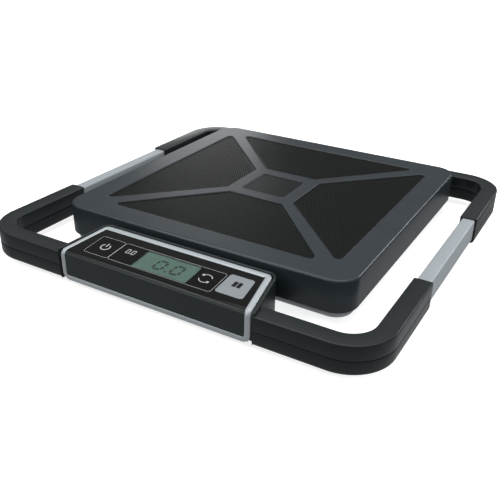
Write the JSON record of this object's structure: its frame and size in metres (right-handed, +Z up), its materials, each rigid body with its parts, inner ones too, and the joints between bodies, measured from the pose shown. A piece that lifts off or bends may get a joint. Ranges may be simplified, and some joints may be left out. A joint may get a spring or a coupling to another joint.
{
  "type": "platform scale",
  "caption": "Low portable platform scale: square platform with textured rubber pads, hoop frame with aluminium side bars, and a lift-off display module with keys and LCD docked at the front.",
  "frame": {"origin": "middle of the whole footprint, on the surface the feet stand on", "axes": "+X to the user's right and across both handle bars, +Y from the display towards the back, +Z up"},
  "size_m": [0.402, 0.3944, 0.045],
  "materials": {
    "cover_plastic": "satin, fine grain",
    "tread_rubber": "matt, moulded pips",
    "badge_plastic": "satin",
    "inner_plastic": "matt",
    "screw_steel": "satin",
    "foot_rubber": "matt",
    "base_plastic": "matt",
    "cell_steel": "satin",
    "battery_sleeve": "gloss",
    "contact_metal": "bright",
    "board_laminate": "semi-gloss",
    "socket_metal": "bright",
    "socket_plastic": "satin",
    "lead_sleeve": "satin",
    "frame_plastic": "satin, fine grain",
    "bar_aluminium": "satin anodised",
    "bezel_silver": "satin silver lacquer",
    "panel_black": "gloss",
    "key_black": "satin",
    "window_clear": "clear, gloss",
    "lcd_face": "smooth"
  },
  "bodies": {
    "root": {"board_chips": "inner_plastic", "cell_holder_front_left": "inner_plastic", "cell_holder_back_left": "inner_plastic", "cell_holder_front_right": "inner_plastic", "cell_holder_back_right": "inner_plastic", "cell_screws": "screw_steel", "tongue_screws_front": "screw_steel", "tongue_screws_rear": "screw_steel", "frame_screws_front": "screw_steel", "frame_screws_rear": "screw_steel", "bar_screws": "screw_steel", "load_buffers": "foot_rubber", "foot_front_left": "foot_rubber", "foot_back_left": "foot_rubber", "foot_front_right": "foot_rubber", "foot_back_right": "foot_rubber", "base_pan": "base_plastic", "load_cell_front_left": "cell_steel", "load_cell_back_left": "cell_steel", "load_cell_front_right": "cell_steel", "load_cell_back_right": "cell_steel", "battery_left": "battery_sleeve", "battery_middle": "battery_sleeve", "battery_right": "battery_sleeve", "battery_contacts": "contact_metal", "main_board": "board_laminate", "usb_socket": "socket_metal", "power_jack": "socket_plastic", "cell_leads": "lead_sleeve", "front_frame_upper": "frame_plastic", "front_frame_lower": "frame_plastic", "rear_frame_upper": "frame_plastic", "rear_frame_lower": "frame_plastic", "handle_bar_left": "bar_aluminium", "handle_bar_right": "bar_aluminium"},
    "platform": {"platform_cover": "cover_plastic", "tread_pad_front": "tread_rubber", "tread_pad_right": "tread_rubber", "tread_pad_back": "tread_rubber", "tread_pad_left": "tread_rubber", "centre_badge": "badge_plastic", "platform_stiffener": "inner_plastic", "cover_screws": "screw_steel", "retaining_screws": "screw_steel"},
    "display": {"display_bezel": "bezel_silver", "display_panel": "panel_black", "display_case": "inner_plastic", "display_screws": "screw_steel", "dock_plate": "contact_metal", "lcd_window": "window_clear", "lcd_glass": "lcd_face", "lcd_holder": "inner_plastic", "display_board": "board_laminate", "key_switches": "socket_plastic"},
    "power_key": {"power_key": "key_black"},
    "tare_key": {"tare_key": "key_black"},
    "units_key": {"units_key": "key_black"},
    "hold_key": {"hold_key": "bezel_silver"},
    "battery_lid": {"battery_door": "base_plastic"}
  },
  "joints": [
    {"name": "platform_press", "type": "slide", "parent": "root", "child": "platform", "axis": [0, 0, -1], "range_m": [0, 0.0008], "stiffness_N_per_m": 100000, "springref_m": -0.0005, "deforming": ["load_buffers"]},
    {"name": "display_lift", "type": "slide", "parent": "root", "child": "display", "axis": [0, 0, 1], "range_m": [0, 0.045]},
    {"name": "power_key_press", "type": "slide", "parent": "display", "child": "power_key", "axis": [0, 0.0872, -0.9962], "range_m": [0, 0.0004], "stiffness_N_per_m": 2500, "springref_m": -0.0002},
    {"name": "tare_key_press", "type": "slide", "parent": "display", "child": "tare_key", "axis": [0, 0.0872, -0.9962], "range_m": [0, 0.0004], "stiffness_N_per_m": 2500, "springref_m": -0.0002},
    {"name": "units_key_press", "type": "slide", "parent": "display", "child": "units_key", "axis": [0, 0.0872, -0.9962], "range_m": [0, 0.0004], "stiffness_N_per_m": 2500, "springref_m": -0.0002},
    {"name": "hold_key_press", "type": "slide", "parent": "display", "child": "hold_key", "axis": [0, 0.0872, -0.9962], "range_m": [0, 0.0004], "stiffness_N_per_m": 2500, "springref_m": -0.0002},
    {"name": "battery_door_drop", "type": "slide", "parent": "root", "child": "battery_lid", "axis": [0, 0, -1], "range_m": [0, 0.02]}
  ]
}
